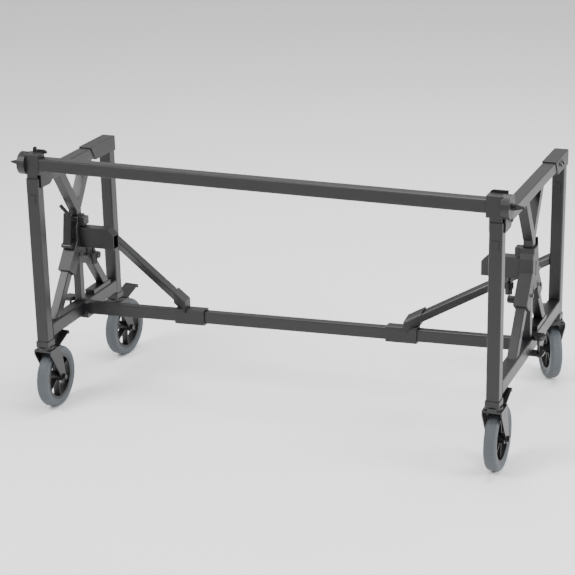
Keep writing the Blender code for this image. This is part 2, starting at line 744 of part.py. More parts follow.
def add_housing(side, end):
    body = side_profile(housing_outline(), HOUSING_WIDTH)
    housing = add_piece(f"{side}_housing", body, CAST, end)
    round_edges(housing, HOUSING_BEVEL)
    half = HOUSING_WIDTH / 2
    join(housing, box_mesh((-half - BLOCK_REACH, -BLOCK_HALF_DEPTH, HOUSING_TOP - BLOCK_HEIGHT),
                           (-POST_WIDTH / 2, BLOCK_HALF_DEPTH, HOUSING_TOP - 1.5 * HOUSING_BEVEL)))
    lug_middle = LEVER_WIDTH / 2 + SEAT_GAP + LEVER_LUG / 2
    for way in (-1, 1):
        join(housing, side_profile(lever_lug_outline(), LEVER_LUG, LEVER_OFFSET + way * lug_middle))
    y, z = LEVER_PIVOT
    hole = POST_WIDTH / 2 + HOLE_GAP
    cut(housing, box_mesh((-hole, -hole, CENTRAL_SOCKET_BOTTOM - half), (hole, hole, HOUSING_TOP + half)))
    socket = STRUT_WIDTH + 2 * HOLE_GAP
    for way in (-1, 1):
        cut(housing, swept_mesh(strut_along(way, SOCKET_END + STRUT_WIDTH),
                                strut_point(way, STRUT_TOP + SEAT_GAP), X_AXIS, Z_AXIS, socket, socket))
    knob = strut_along(-1, STRUT_KNOB_PLACE)
    cut(housing, rod_mesh(STRUT_STUD_RADIUS + HOLE_GAP, (-HOUSING_WIDTH, knob.y, knob.z),
                          (0, knob.y, knob.z)))
    cut(housing, rod_mesh(LEVER_BARREL / 2 + HOLE_GAP, (-HOUSING_WIDTH, y, z), (HOUSING_WIDTH, y, z)))
    cut(housing, box_mesh((half - RIB_DEPTH, -RIB_WIDTH / 2, STRUT_APEX - RIB_LENGTH / 2),
                          (half + RIB_DEPTH, RIB_WIDTH / 2, STRUT_APEX + RIB_LENGTH / 2)))
    finish(housing)


def add_lower_beam():
    """A tube between the crossbars' middles, with a saddle under each crossbar."""
    left = end_middle("left")
    right = end_middle("right")
    inset = LEG_WIDTH / 2 + SADDLE_FLANGE / 2
    tube = swept_mesh(beam_point(left.x + inset), beam_point(right.x - inset), Y_AXIS, X_AXIS,
                      BEAM_DEPTH, BEAM_HEIGHT, LEG_WALL, LEG_CORNER)
    beam = add_piece("lower_beam", tube, POWDER_COAT)
    plate_top = CROSSBAR_BOTTOM - SEAT_GAP
    for middle, way in ((left, -1), (right, 1)):
        face = middle.x - way * (LEG_WIDTH / 2 + SEAT_GAP)
        outside = middle.x + way * (LEG_WIDTH / 2 + KNOB_OFFSET + SADDLE_REACH)
        rear = middle.y + SADDLE_WIDTH / 2
        front = middle.y - SADDLE_WIDTH / 2
        inner = face - way * SADDLE_FLANGE
        low, high = sorted((inner, face))
        join(beam, box_mesh((low, front, plate_top - SADDLE_PLATE), (high, rear, BEAM_TOP)))
        low, high = sorted((inner, outside))
        join(beam, box_mesh((low, front, plate_top - SADDLE_PLATE), (high, rear, plate_top)))
        screw = middle.x + way * (LEG_WIDTH / 2 + KNOB_OFFSET)
        cut(beam, rod_mesh(BEAM_SCREW_RADIUS + HOLE_GAP, (screw, middle.y, plate_top - SADDLE_FLANGE),
                           (screw, middle.y, plate_top + SADDLE_FLANGE)))
        drain = middle.x - way * 5 * SADDLE_FLANGE
        drain_y = beam_point(drain).y
        cut(beam, rod_mesh(BEAM_SCREW_RADIUS, (drain, drain_y, BEAM_MIDDLE - BEAM_HEIGHT),
                           (drain, drain_y, BEAM_MIDDLE)))
    finish(beam)


def beam_point(x):
    """The point of the beam's axis at x."""
    left = end_middle("left")
    right = end_middle("right")
    point = left.lerp(right, (x - left.x) / (right.x - left.x))
    point.z = BEAM_MIDDLE
    return point


def brace_ends(side):
    way = SIDES[side]
    start = beam_point(way * BRACE_ROOT_X)
    start.z = BRACE_ROOT_Z
    x, y = LEGS[f"{side}_rear"]
    end = Vector((x - way * (LEG_WIDTH / 2 + SEAT_GAP), y, BRACE_END_Z))
    return start, end


def add_brace(side):
    start, end = brace_ends(side)
    tube = swept_mesh(start, end, Z_AXIS, X_AXIS, BRACE_WIDTH, BRACE_WIDTH, BRACE_WALL, BRACE_WALL)
    finish(add_piece(f"{side}_brace", tube, POWDER_COAT))


def add_collar(side):
    """A casting that wraps the beam and holds the foot of a brace."""
    way = SIDES[side]
    start, end = brace_ends(side)
    run = (end - start).normalized()
    middle = beam_point(way * COLLAR_PLACE)
    beam_run = (beam_point(LEG_SPACING) - beam_point(0)).normalized()
    half = COLLAR_LENGTH / 2
    wide = BEAM_DEPTH + 2 * (SEAT_GAP + COLLAR_WALL)
    high = BEAM_HEIGHT + 2 * (SEAT_GAP + COLLAR_WALL)
    body = swept_mesh(middle - beam_run * half, middle + beam_run * half, Y_AXIS, X_AXIS,
                      wide, high, 0, COLLAR_WALL)
    collar = add_piece(f"{side}_brace_collar", body, CAST)
    shell = BRACE_WIDTH + 2 * (SEAT_GAP + BRACE_SOCKET_WALL)
    join(collar, swept_mesh(start - run * BRACE_FLOOR, start + run * BRACE_SOCKET_LENGTH,
                            Z_AXIS, X_AXIS, shell, shell, 0, BRACE_SOCKET_WALL))
    cut(collar, swept_mesh(middle - beam_run * COLLAR_LENGTH, middle + beam_run * COLLAR_LENGTH,
                           Y_AXIS, X_AXIS, BEAM_DEPTH + 2 * SEAT_GAP, BEAM_HEIGHT + 2 * SEAT_GAP,
                           0, LEG_CORNER))
    hole = BRACE_WIDTH + 2 * SEAT_GAP
    cut(collar, swept_mesh(start - run * SEAT_GAP * 2, start + run * BRACE_SOCKET_LENGTH * 2,
                           Z_AXIS, X_AXIS, hole, hole, 0, BRACE_WALL))
    finish(collar)


def bracket_outline(inset):
    """A box arm seen from the front, with its top corner cut off at the open end."""
    root = -HOUSING_WIDTH / 2 - SEAT_GAP - inset
    tip = -HOUSING_WIDTH / 2 - SEAT_GAP - BRACKET_LENGTH
    bottom = BRACKET_BOTTOM + inset
    top = BRACKET_BOTTOM + BRACKET_HEIGHT - inset
    tip -= inset
    chamfer = BRACKET_CHAMFER + inset * 0.6
    return [(root, bottom), (root, top), (tip + chamfer, top), (tip, top - chamfer), (tip, bottom)]


def add_bracket(side, end):
    body = front_profile(bracket_outline(0), BRACKET_DEPTH)
    bracket = add_piece(f"{side}_resonator_bracket", body, POWDER_COAT, end)
    cut(bracket, front_profile(bracket_outline(BRACKET_WALL), BRACKET_DEPTH - 2 * BRACKET_WALL))
    cut(bracket, rod_mesh(FOOT_STEM_RADIUS + HOLE_GAP, (-FOOT_PLACE, 0, BRACKET_BOTTOM - BRACKET_WALL),
                          (-FOOT_PLACE, 0, BRACKET_BOTTOM + 2 * BRACKET_WALL), ROUND_STEPS))


# Upper frame

def add_spigot(piece, top, leg_top):
    """The square plug that slides in a leg, with a groove for the leg's button."""
    half = SPIGOT_WIDTH / 2
    bottom = leg_top - SPIGOT_LENGTH
    plug = swept_mesh((0, 0, bottom), (0, 0, top), X_AXIS, Z_AXIS, SPIGOT_WIDTH, SPIGOT_WIDTH, 0, LEG_WALL)
    join(piece, plug)
    wide = WINDOW_WIDTH / 2 + BUTTON_FLANGE + 2 * SLIDE_GAP
    cut(piece, box_mesh((-wide, -LEG_WIDTH, bottom - LEG_WIDTH), (wide, SPIGOT_GROOVE - half, leg_top)))


def front_socket_start():
    return LEG_WIDTH / 2 + SOCKET_FLOOR


def add_front_knuckle(side):
    """A corner casting: front rail spigot, side rail socket, leg spigot and outboard boss."""
    out = SIDES[side]
    x, y = LEGS[f"{side}_front"]
    bottom = FRONT_RAIL_MIDDLE - KNUCKLE_BELOW
    top = FRONT_RAIL_MIDDLE + KNUCKLE_ABOVE
    low, high = sorted((-out * KNUCKLE_INNER, out * KNUCKLE_OUTER))
    block = box_mesh((low, -KNUCKLE_HALF_DEPTH, bottom), (high, KNUCKLE_HALF_DEPTH, top))
    knuckle = add_piece(f"{side}_front_knuckle", block, CAST, None, (x, y, 0))
    round_edges(knuckle, 0.003, 2)
    boss = rod_mesh(BOSS_RADIUS, (out * (KNUCKLE_OUTER - BOSS_REACH / 4), 0, FRONT_RAIL_MIDDLE),
                    (out * (KNUCKLE_OUTER + BOSS_REACH), 0, FRONT_RAIL_MIDDLE), FINE_STEPS)
    join(knuckle, boss)
    join(knuckle, knuckle_plate(side, top))
    if side == "left":
        join(knuckle, knuckle_lug(top))
    floor = SIDE_RAIL_BOTTOM - CHEEK_BOTTOM
    mouth = FRONT_SOCKET_MOUTH
    outline = ([(-SLIDE_GAP * 4, bottom + CHEEK_THICKNESS)]
               + [(-SLIDE_GAP * 4, floor)]
               + arc((mouth - CHEEK_ROUND, floor + CHEEK_ROUND), CHEEK_ROUND, -90, 0, 5)
               + [(mouth, bottom + CHEEK_THICKNESS)])
    width = SIDE_RAIL_WIDTH + 2 * (SEAT_GAP + CHEEK_THICKNESS)
    join(knuckle, side_profile(outline, width))
    slot = LEG_WIDTH / 2 + HOLE_GAP
    cut(knuckle, box_mesh((-slot, -LEG_WIDTH, floor - LEG_WIDTH), (slot, slot + HOLE_GAP, bottom)))
    hole = SIDE_RAIL_WIDTH / 2 + SEAT_GAP
    cut(knuckle, box_mesh((-hole, front_socket_start(), SIDE_RAIL_BOTTOM - SEAT_GAP),
                          (hole, mouth + LEG_WIDTH, SIDE_RAIL_TOP + SEAT_GAP)))
    add_spigot(knuckle, bottom + LEG_WALL, FRONT_LEG_TOP)
    run = front_rail_run() * -out
    root = Vector((-out * (KNUCKLE_INNER - LEG_WALL), 0, FRONT_RAIL_MIDDLE))
    spigot = FRONT_RAIL_SIZE - 2 * (RAIL_WALL + HOLE_GAP)
    join(knuckle, swept_mesh(root, root + run * RAIL_SPIGOT_LENGTH, Z_AXIS, X_AXIS,
                             spigot, spigot, 0, RAIL_WALL))
    stud = BEAM_SCREW_RADIUS + HOLE_GAP
    face = KNUCKLE_OUTER + BOSS_REACH
    cut(knuckle, rod_mesh(stud, (out * (face - WING_STUD_LENGTH - 2 * SEAT_GAP), 0, FRONT_RAIL_MIDDLE),
                          (out * (face + WING_STUD_LENGTH), 0, FRONT_RAIL_MIDDLE)))
    finish(knuckle)


def knuckle_plate(side, top):
    """The flange that stands above the knuckle's rear edge."""
    out = SIDES[side]
    start = LEFT_PLATE_FROM if side == "left" else RIGHT_PLATE_FROM
    end = LEFT_PLATE_TO if side == "left" else RIGHT_PLATE_TO
    outline = [(out * start, top - CAP_LIP * 2), (out * start, top + PLATE_RISE - PLATE_CHAMFER / 2),
               (out * (start + PLATE_CHAMFER), top + PLATE_RISE), (out * end, top + PLATE_RISE),
               (out * end, top - CAP_LIP * 2)]
    return front_profile(outline, PLATE_THICKNESS, KNUCKLE_HALF_DEPTH - PLATE_THICKNESS)


def knuckle_lug(top):
    """The round-topped ear beside the left knuckle's flange."""
    foot = top - CAP_LIP * 2
    outline = ([(-LUG_RADIUS, foot)] + arc((0, top + LUG_RISE), LUG_RADIUS, 180, 0, 6)
               + [(LUG_RADIUS, foot)])
    return front_profile(outline, PLATE_THICKNESS, KNUCKLE_HALF_DEPTH - PLATE_THICKNESS)


def front_rail_run():
    left = Vector(LEGS["left_front"]).to_3d()
    right = Vector(LEGS["right_front"]).to_3d()
    return (right - left).normalized()


def add_front_rail():
    run = front_rail_run()
    lift = Vector((0, 0, FRONT_RAIL_MIDDLE))
    inset = run * ((KNUCKLE_INNER + SEAT_GAP) / run.x)
    left = Vector(LEGS["left_front"]).to_3d() + lift
    right = Vector(LEGS["right_front"]).to_3d() + lift
    tube = swept_mesh(left + inset, right - inset, Z_AXIS, X_AXIS,
                      FRONT_RAIL_SIZE, FRONT_RAIL_SIZE, RAIL_WALL, RAIL_CORNER)
    finish(add_piece("front_rail", tube, POWDER_COAT))


def add_rear_elbow(side):
    """A corner casting: side rail socket and leg spigot."""
    x, y = LEGS[f"{side}_rear"]
    top = SIDE_RAIL_TOP + SEAT_GAP + ELBOW_WALL
    foot = REAR_LEG_TOP + SLIDE_GAP
    sill = SIDE_RAIL_BOTTOM - RAIL_WALL * 4
    back = LEG_WIDTH / 2 + SLIDE_GAP
    outline = [(back, top), (back, foot), (-back, foot), (-back, sill),
               (-ELBOW_MOUTH_BOTTOM, sill), (-ELBOW_MOUTH_TOP, top)]
    width = SIDE_RAIL_WIDTH + 2 * (SEAT_GAP + ELBOW_WALL)
    elbow = add_piece(f"{side}_rear_elbow", side_profile(outline, width), CAST, None, (x, y, 0))
    round_edges(elbow, 0.0015)
    cut(elbow, box_mesh((-SIDE_RAIL_WIDTH / 2 - SEAT_GAP, -ELBOW_MOUTH_TOP - LEG_WIDTH,
                         SIDE_RAIL_BOTTOM - SEAT_GAP),
                        (SIDE_RAIL_WIDTH / 2 + SEAT_GAP, -rear_socket_start(), SIDE_RAIL_TOP + SEAT_GAP)))
    add_spigot(elbow, foot + LEG_WALL, REAR_LEG_TOP)
    finish(elbow)


def rear_socket_start():
    return LEG_WIDTH / 2 + 1.6 * SOCKET_FLOOR


def add_side_rail(side):
    x, front = LEGS[f"{side}_front"]
    rear = LEGS[f"{side}_rear"][1]
    start = (x, front + front_socket_start() + SEAT_GAP, SIDE_RAIL_MIDDLE)
    end = (x, rear - rear_socket_start() - SEAT_GAP, SIDE_RAIL_MIDDLE)
    tube = swept_mesh(start, end, X_AXIS, Y_AXIS, SIDE_RAIL_WIDTH, SIDE_RAIL_HEIGHT,
                      RAIL_WALL, RAIL_WALL)
    finish(add_piece(f"{side}_side_rail", tube, POWDER_COAT))


def add_fork(side, end):
    """A hollow post with two arms that carry the side rail."""
    half = POST_WIDTH / 2
    fork = add_piece(f"{side}_fork", box_mesh((-half, -half, POST_BOTTOM), (half, half, POST_TOP)),
                     POWDER_COAT, end)
    for way in (-1, 1):
        join(fork, swept_mesh((0, 0, ARM_ROOT), (0, way * ARM_SPREAD, SIDE_RAIL_BOTTOM - SEAT_GAP),
                              X_AXIS, Z_AXIS, ARM_DEPTH, ARM_DEPTH))
    hollow = half - POST_WALL
    cut(fork, box_mesh((-hollow, -hollow, POST_BOTTOM - half), (hollow, hollow, POST_TOP - half)))


# Hand screws and levers

def add_lever(side, end):
    """A clamp lever on the housing's shoulder, with a round grip on top."""
    y, z = LEVER_PIVOT
    length = Vector((0, LEVER_TOP[0] - y, LEVER_TOP[1] - z))
    half = LEVER_WIDTH / 2
    barrel = rod_mesh(LEVER_BARREL, (-half, 0, 0), (half, 0, 0))
    lever = add_piece(f"{side}_clamp_lever", barrel, BLACK_PLASTIC, end, (LEVER_OFFSET, y, z))
    join(lever, swept_mesh((0, 0, 0), length, X_AXIS, Z_AXIS, LEVER_WIDTH, LEVER_THICKNESS))
    tilt = GRIP_ANGLE if side == "left" else 0
    grip_run = Vector((math.sin(tilt), 0, math.cos(tilt))) * GRIP_LENGTH
    join(lever, rod_mesh(GRIP_RADIUS, length - grip_run.normalized() * GRIP_RADIUS, length + grip_run))
    pin = LEVER_WIDTH / 2 + SEAT_GAP + LEVER_LUG
    join(lever, rod_mesh(LEVER_BARREL / 2, (-pin, 0, 0), (pin, 0, 0)))
    finish(lever)


def add_strut_knob(side, end):
    place = strut_along(-1, STRUT_KNOB_PLACE)
    face = -HOUSING_WIDTH / 2 - SEAT_GAP
    grip = rod_mesh(STRUT_KNOB_RADIUS, (-STRUT_KNOB_LENGTH, 0, 0), (0, 0, 0), 12)
    knob = add_piece(f"{side}_strut_knob", grip, BLACK_PLASTIC, end, (face, place.y, place.z))
    tip = -STRUT_WIDTH / 2 - SEAT_GAP - face
    join(knob, rod_mesh(STRUT_STUD_RADIUS, (-STRUT_KNOB_LENGTH / 2, 0, 0), (tip, 0, 0)))
    finish(knob)


def add_foot_knob(side, end):
    """A knurled knob under the box arm, hung from a round nut inside it."""
    grip_top = BRACKET_BOTTOM - FOOT_STEM_LENGTH
    grip = rod_mesh(FOOT_KNOB_RADIUS, (0, 0, -FOOT_KNOB_HEIGHT), (0, 0, 0), ROUND_STEPS)
    knob = add_piece(f"{side}_foot_knob", grip, BLACK_PLASTIC, end, (-FOOT_PLACE, 0, grip_top))
    ring = FOOT_KNOB_RADIUS - FOOT_STEM_RADIUS / 2
    join(knob, rod_mesh(ring, (0, 0, -FOOT_KNOB_HEIGHT - FOOT_RING_HEIGHT),
                        (0, 0, -FOOT_KNOB_HEIGHT + SEAT_GAP), ROUND_STEPS))
    seat = FOOT_STEM_LENGTH + BRACKET_WALL + SEAT_GAP
    join(knob, rod_mesh(FOOT_STEM_RADIUS, (0, 0, -SEAT_GAP), (0, 0, seat + FOOT_STEM_RADIUS)))
    join(knob, rod_mesh(2 * FOOT_STEM_RADIUS, (0, 0, seat), (0, 0, seat + FOOT_STEM_RADIUS)))
    finish(knob)


def add_beam_knob(side):
    """A lobed knob that clamps the beam's saddle under the crossbar."""
    middle = end_middle(side)
    x = middle.x + SIDES[side] * (LEG_WIDTH / 2 + KNOB_OFFSET)
    thick = BEAM_KNOB_THICKNESS
    disc = extruded_mesh([star_outline(BEAM_KNOB_RADIUS, 6, BEAM_KNOB_RADIUS / 8)], thick)
    place = (x, middle.y, CROSSBAR_TOP + SEAT_GAP + thick / 2)
    knob = add_piece(f"{side}_beam_knob", disc, BLACK_PLASTIC, None, place)
    plate_bottom = CROSSBAR_BOTTOM - 2 * SEAT_GAP - SADDLE_PLATE - place[2]
    join(knob, rod_mesh(BEAM_SCREW_RADIUS, (0, 0, plate_bottom - 1.5 * BEAM_NUT_THICKNESS), (0, 0, 0)))
    join(knob, rod_mesh(2 * BEAM_SCREW_RADIUS, (0, 0, plate_bottom - BEAM_NUT_THICKNESS),
                        (0, 0, plate_bottom), 6))
    finish(knob)


def add_wing_screw(side):
    """A pointed wing screw in the knuckle's boss."""
    out = SIDES[side]
    x, y = LEGS[f"{side}_front"]
    face = out * (KNUCKLE_OUTER + BOSS_REACH + SEAT_GAP)
    hub = rod_mesh(WING_HUB_RADIUS, (0, 0, 0), (out * WING_HUB_LENGTH, 0, 0))
    screw = add_piece(f"{side}_wing_screw", hub, BLACK_PLASTIC, None, (x + face, y, FRONT_RAIL_MIDDLE))
    half = WING_HEIGHT / 2
    tip = out * (WING_HUB_LENGTH + WING_LENGTH)
    wing = front_profile([(out * WING_HUB_LENGTH / 2, -half), (tip, -half / 5), (tip, half / 5),
                          (out * WING_HUB_LENGTH / 2, half)], WING_THICKNESS)
    join(screw, wing)
    join(screw, rod_mesh(BEAM_SCREW_RADIUS, (-out * WING_STUD_LENGTH, 0, 0), (out * SEAT_GAP, 0, 0)))
    finish(screw)


# Assembly

def add_end_frame(side):
    turn = 0 if side == "right" else math.pi
    end = add_empty(f"{side}_end", end_middle(side), turn)
    add_crossbar(side, end)
    add_struts(side, end)
    add_housing(side, end)
    add_bracket(side, end)
    add_fork(side, end)
    add_lever(side, end)
    add_strut_knob(side, end)
    add_foot_knob(side, end)
    add_side_rail(side)
    add_front_knuckle(side)
    add_rear_elbow(side)
    add_collar(side)
    add_brace(side)
    add_beam_knob(side)
    add_wing_screw(side)


def stand_on_origin():
    """Moves the whole object so that its box stands centred on the origin."""
    bpy.context.view_layer.update()
    graph = bpy.context.evaluated_depsgraph_get()
    corners = []
    for piece in PARTS.objects:
        if piece.type == "MESH":
            solid = piece.evaluated_get(graph)
            corners += [solid.matrix_world @ vertex.co for vertex in solid.data.vertices]
    low = Vector([min(corner[axis] for corner in corners) for axis in range(3)])
    high = Vector([max(corner[axis] for corner in corners) for axis in range(3)])
    shift = Vector((-(low.x + high.x) / 2, -(low.y + high.y) / 2, -low.z))
    for item in list(PARTS.objects) + list(CUTTERS.objects):
        if item.parent is None:
            item.location += shift


for corner_name in LEGS:
    add_leg(corner_name)
    add_spring_button(corner_name)
    add_caster(corner_name)
for side_name in SIDES:
    add_end_frame(side_name)
add_lower_beam()
add_front_rail()
stand_on_origin()
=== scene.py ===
"""The looks of the vibraphone field frame: finishes, floor, studio light and camera."""
import json
import math

import bpy
from mathutils import Matrix, Vector


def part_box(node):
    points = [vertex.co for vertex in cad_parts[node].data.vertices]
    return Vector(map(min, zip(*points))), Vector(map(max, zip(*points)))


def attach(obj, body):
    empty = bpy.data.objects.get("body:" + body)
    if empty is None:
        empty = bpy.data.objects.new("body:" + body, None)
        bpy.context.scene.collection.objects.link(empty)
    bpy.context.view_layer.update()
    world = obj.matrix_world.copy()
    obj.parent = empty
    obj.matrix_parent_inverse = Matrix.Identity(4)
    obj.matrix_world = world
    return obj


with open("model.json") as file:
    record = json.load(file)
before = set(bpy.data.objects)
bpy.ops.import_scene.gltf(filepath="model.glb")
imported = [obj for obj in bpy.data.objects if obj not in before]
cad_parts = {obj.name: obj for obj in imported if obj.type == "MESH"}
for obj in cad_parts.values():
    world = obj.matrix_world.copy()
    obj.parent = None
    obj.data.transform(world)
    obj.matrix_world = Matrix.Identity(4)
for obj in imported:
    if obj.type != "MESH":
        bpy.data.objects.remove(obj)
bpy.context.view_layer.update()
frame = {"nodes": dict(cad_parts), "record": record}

MILLIMETRE = 0.001

# Camera of the photograph
CAMERA_PLACE = (1.92699, -5.01892, 2.22392)
CAMERA_YAW = math.radians(21.671)
CAMERA_PITCH = math.radians(19.068)
CAMERA_ROLL = math.radians(-1.185)
SENSOR_WIDTH = 36.0
FOCAL_PIXELS = 1749.84
IMAGE_WIDTH = 575
CLIP_END = 200

# Stage and lights: each light has a place, a width and the same power
FLOOR_SIZE = 60
SKY_STRENGTH = 0.8
LIGHT_POWER = 260
LIGHT_AIM = (0, 0, 0.4)
LIGHTS = {
    "key": ((-2.5, -3.5, 4.5), 2.5),
    "side": ((5.0, -0.5, 2.5), 2.5),
    "top": ((0.5, 1.0, 5.0), 4.0),
}

# Grain of the finishes
DRIFT_PER_METRE = 9.0
GLOSSIER_BY = 0.06
DULLER_BY = 0.08
GRAIN_STRENGTH = 0.6

# Grip ribs on the knobs
RIB_DEPTH = 1.6 * MILLIMETRE
RIB_WIDTH = 2.2 * MILLIMETRE
FOOT_RIBS = 18
FOOT_RIB_HEIGHT = 18 * MILLIMETRE
FOOT_GRIP_DROP = 20 * MILLIMETRE
FOOT_RIB_DROP = 10 * MILLIMETRE
STRUT_RIBS = 14
STRUT_RIB_HEIGHT = 20 * MILLIMETRE
STRUT_RIB_INSET = 12 * MILLIMETRE

# Hexagon screw heads on the castings
HEAD_SIDES = 6
HEAD_RADIUS = 6.5 * MILLIMETRE
HEAD_HEIGHT = 5 * MILLIMETRE
HEAD_PROUD = 2.2 * MILLIMETRE
ELBOW_HEAD_SPACING = 30 * MILLIMETRE
ELBOW_HEAD_INSET = 55 * MILLIMETRE
KNUCKLE_HEAD_INSET = 18 * MILLIMETRE
KNUCKLE_HEAD_PROUD = 3.4 * MILLIMETRE
HOUSING_HEAD_SPACING = 110 * MILLIMETRE
HOUSING_HEAD_RISE = 50 * MILLIMETRE


# Materials

def linear(code):
    """A hex sRGB colour as linear RGBA."""
    values = []
    for start in (0, 2, 4):
        part = int(code[start:start + 2], 16) / 255
        values.append(part / 12.92 if part <= 0.04045 else ((part + 0.055) / 1.055) ** 2.4)
    return (*values, 1.0)


def add_node(tree, kind, settings=None, inputs=None):
    """Adds a node; a tuple (node, output) as an input is linked, anything else is a value."""
    node = tree.nodes.new(kind)
    for name, value in (settings or {}).items():
        setattr(node, name, value)
    for name, value in (inputs or {}).items():
        if isinstance(value, tuple) and len(value) == 2 and isinstance(value[0], bpy.types.Node):
            tree.links.new(value[0].outputs[value[1]], node.inputs[name])
        else:
            node.inputs[name].default_value = value
    return node


def grained_finish(name, dark, light, roughness, grain, depth):
    """A finish with fine grain in the gloss and the height, and faint drift in the colour."""
    material = bpy.data.materials.new(name)
    material.use_nodes = True
    tree = material.node_tree
    shader = tree.nodes["Principled BSDF"]
    place = add_node(tree, "ShaderNodeTexCoord")
    fine = add_node(tree, "ShaderNodeTexNoise", None,
                    {"Vector": (place, "Object"), "Scale": 1 / grain, "Detail": 3.0})
    broad = add_node(tree, "ShaderNodeTexNoise", None,
                     {"Vector": (place, "Object"), "Scale": DRIFT_PER_METRE, "Detail": 2.0})
    tint = add_node(tree, "ShaderNodeMix", {"data_type": "RGBA"},
                    {"Factor": (broad, "Fac"), "A": linear(dark), "B": linear(light)})
    tree.links.new(tint.outputs["Result"], shader.inputs["Base Color"])
    gloss = add_node(tree, "ShaderNodeMapRange", None,
                     {"Value": (fine, "Fac"), "To Min": roughness - GLOSSIER_BY,
                      "To Max": roughness + DULLER_BY})
    tree.links.new(gloss.outputs["Result"], shader.inputs["Roughness"])
    bump = add_node(tree, "ShaderNodeBump", None,
                    {"Height": (fine, "Fac"), "Distance": depth, "Strength": GRAIN_STRENGTH})
    tree.links.new(bump.outputs["Normal"], shader.inputs["Normal"])
    shader.inputs["IOR"].default_value = 1.5
    return material


# Powder coat on tube: satin black with a fine orange peel
POWDER_COAT = grained_finish("powder_coat", "0b0b0d", "101013", 0.38,
                             2.2 * MILLIMETRE, 0.25 * MILLIMETRE)
# Sand casting under black paint: rougher and a little duller
PAINTED_CASTING = grained_finish("painted_casting", "0c0c0d", "131315", 0.46,
                                 1.4 * MILLIMETRE, 0.3 * MILLIMETRE)
# Injection-moulded nylon: deep black, even and slightly glossy
MOULDED_NYLON = grained_finish("moulded_nylon", "070708", "0c0c0e", 0.36,
                               1.0 * MILLIMETRE, 0.1 * MILLIMETRE)
# Tyre rubber: cool mid grey and matt
TYRE_RUBBER = grained_finish("tyre_rubber", "3d4246", "474c51", 0.60,
                             1.2 * MILLIMETRE, 0.2 * MILLIMETRE)
# Pressed steel with a black oxide: darker and smoother than the coat
BLACK_OXIDE = grained_finish("black_oxide_steel", "0a0a0b", "111113", 0.34,
                             1.6 * MILLIMETRE, 0.15 * MILLIMETRE)
FINISHES = {
    "powder_coated_steel": POWDER_COAT,
    "painted_casting": PAINTED_CASTING,
    "black_nylon": MOULDED_NYLON,
    "grey_rubber": TYRE_RUBBER,
    "blackened_steel": BLACK_OXIDE,
}


# Repeated small pieces, made by Geometry Nodes

def set_input(modifier, tree, name, value):
    for item in tree.interface.items_tree:
        if item.name == name and item.in_out == "INPUT":
            modifier[item.identifier] = value


def new_tree(name, inputs):
    tree = bpy.data.node_groups.new(name, "GeometryNodeTree")
    tree.interface.new_socket("Geometry", in_out="OUTPUT", socket_type="NodeSocketGeometry")
    for label, kind in inputs:
        tree.interface.new_socket(label, in_out="INPUT", socket_type=kind)
    return tree


def end_tree(tree, given, instances):
    """Makes the instances real and gives them the tree's material."""
    whole = add_node(tree, "GeometryNodeRealizeInstances", None,
                     {"Geometry": (instances, "Instances")})
    coat = add_node(tree, "GeometryNodeSetMaterial", None,
                    {"Geometry": (whole, "Geometry"), "Material": (given, "Material")})
    add_node(tree, "NodeGroupOutput", None, {"Geometry": (coat, "Geometry")})


def rib_tree():
    """Upright ribs on a circle: Count of them, at Radius, each Size across, along and high."""
    tree = new_tree("knob_ribs", [("Count", "NodeSocketInt"), ("Radius", "NodeSocketFloat"),
                                  ("Size", "NodeSocketVector"), ("Material", "NodeSocketMaterial")])
    given = add_node(tree, "NodeGroupInput")
    circle = add_node(tree, "GeometryNodeMeshCircle", None,
                      {"Vertices": (given, "Count"), "Radius": (given, "Radius")})
    rib = add_node(tree, "GeometryNodeMeshCube", None, {"Size": (given, "Size")})
    place = add_node(tree, "GeometryNodeInputPosition")
    aim = add_node(tree, "FunctionNodeAlignRotationToVector", {"axis": "X"},
                   {"Vector": (place, "Position")})
    ribs = add_node(tree, "GeometryNodeInstanceOnPoints", None,
                    {"Points": (circle, "Mesh"), "Instance": (rib, "Mesh"),
                     "Rotation": (aim, "Rotation")})
    end_tree(tree, given, ribs)
    return tree


def screw_tree():
    """A row of hexagon heads: Count of them, Step apart, of Radius and Height."""
    tree = new_tree("screw_row", [("Count", "NodeSocketInt"), ("Step", "NodeSocketVector"),
                                  ("Radius", "NodeSocketFloat"), ("Height", "NodeSocketFloat"),
                                  ("Material", "NodeSocketMaterial")])
    given = add_node(tree, "NodeGroupInput")
    row = add_node(tree, "GeometryNodeMeshLine", {"mode": "OFFSET"},
                   {"Count": (given, "Count"), "Offset": (given, "Step")})
    head = add_node(tree, "GeometryNodeMeshCone", None,
                    {"Vertices": HEAD_SIDES, "Radius Top": (given, "Radius"),
                     "Radius Bottom": (given, "Radius"), "Depth": (given, "Height")})
    heads = add_node(tree, "GeometryNodeInstanceOnPoints", None,
                     {"Points": (row, "Mesh"), "Instance": (head, "Mesh")})
    end_tree(tree, given, heads)
    return tree


KNOB_RIBS = rib_tree()
SCREW_ROW = screw_tree()
TURN_TO = {"X": Matrix.Rotation(math.pi / 2, 4, "Y"), "Z": Matrix.Identity(4)}


def grown_piece(name, tree, values, place, axis, body):
    """Runs a tree once, keeps its mesh at the place, and lets it ride on a body."""
    seed = bpy.data.objects.new(name + "_seed", bpy.data.meshes.new(name + "_seed"))
    bpy.context.scene.collection.objects.link(seed)
    modifier = seed.modifiers.new("grow", "NODES")
    modifier.node_group = tree
    for label, value in values.items():
        set_input(modifier, tree, label, value)
    bpy.context.view_layer.update()
    graph = bpy.context.evaluated_depsgraph_get()
    mesh = bpy.data.meshes.new_from_object(seed.evaluated_get(graph))
    bpy.data.objects.remove(seed)
    mesh.transform(Matrix.Translation(place) @ TURN_TO[axis])
    piece = bpy.data.objects.new(name, mesh)
    bpy.context.scene.collection.objects.link(piece)
    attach(piece, body)


def corners(node):
    """The low corner, the high corner and the middle of a node's box."""
    low, high = (Vector(corner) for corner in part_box(node))
    return low, high, (low + high) / 2


